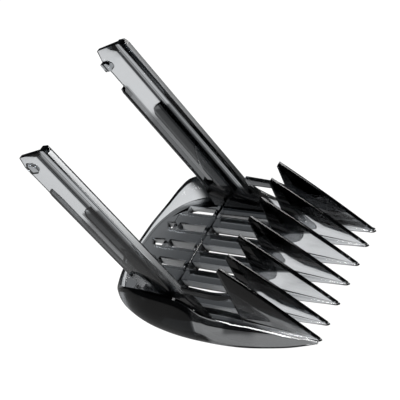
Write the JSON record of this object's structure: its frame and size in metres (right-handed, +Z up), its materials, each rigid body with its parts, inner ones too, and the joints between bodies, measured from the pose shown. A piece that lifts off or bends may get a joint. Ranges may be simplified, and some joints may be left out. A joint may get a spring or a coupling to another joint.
{
  "type": "hair clipper guide comb",
  "caption": "Adjustable hair clipper guide comb: tall triangular teeth on a shallow slotted basket, with two long slide arms for the clipper head.",
  "frame": {"origin": "the middle of the comb's footprint, at the height of the lowest point of its skirt", "axes": "+Z up from the skin side towards the arm tips, +Y towards the tooth tips, +X to the comb's right-hand side seen from behind"},
  "size_m": [0.053, 0.0778, 0.076],
  "materials": {
    "tooth_plastic": "polished, smoke-tinted, see-through",
    "basket_plastic": "polished, smoke-tinted, see-through",
    "arm_plastic": "polished, smoke-tinted, see-through"
  },
  "bodies": {
    "basket": {"tooth_1_blade": "tooth_plastic", "tooth_2_blade": "tooth_plastic", "tooth_3_blade": "tooth_plastic", "tooth_4_blade": "tooth_plastic", "tooth_5_blade": "tooth_plastic", "tooth_6_blade": "tooth_plastic", "tooth_7_blade": "tooth_plastic", "tooth_1_runner": "basket_plastic", "tooth_2_runner": "basket_plastic", "tooth_3_runner": "basket_plastic", "tooth_4_runner": "basket_plastic", "tooth_5_runner": "basket_plastic", "tooth_6_runner": "basket_plastic", "tooth_7_runner": "basket_plastic", "middle_crossbar": "basket_plastic", "rear_floor": "basket_plastic", "rear_wall": "basket_plastic", "right_skirt": "basket_plastic", "right_cheek": "basket_plastic", "right_side_rim": "basket_plastic", "left_skirt": "basket_plastic", "left_cheek": "basket_plastic", "left_side_rim": "basket_plastic"},
    "right_arm": {"right_arm_web": "arm_plastic", "right_arm_rail": "arm_plastic", "right_arm_flange": "arm_plastic", "right_arm_guide_rib": "arm_plastic", "right_arm_catch": "arm_plastic"},
    "left_arm": {"left_arm_web": "arm_plastic", "left_arm_rail": "arm_plastic", "left_arm_flange": "arm_plastic", "left_arm_guide_rib": "arm_plastic", "left_arm_catch": "arm_plastic"}
  },
  "joints": [
    {"name": "right_arm_flex", "type": "hinge", "parent": "basket", "child": "right_arm", "pos_m": [0.02085, -0.00802, 0.01643], "axis": [0, 0.9923, -0.1237], "range_deg": [-1.5, 4], "stiffness_Nm_per_rad": 0.6},
    {"name": "left_arm_flex", "type": "hinge", "parent": "basket", "child": "left_arm", "pos_m": [-0.02085, -0.00802, 0.01643], "axis": [0, -0.9923, 0.1237], "range_deg": [-1.5, 4], "stiffness_Nm_per_rad": 0.6}
  ]
}
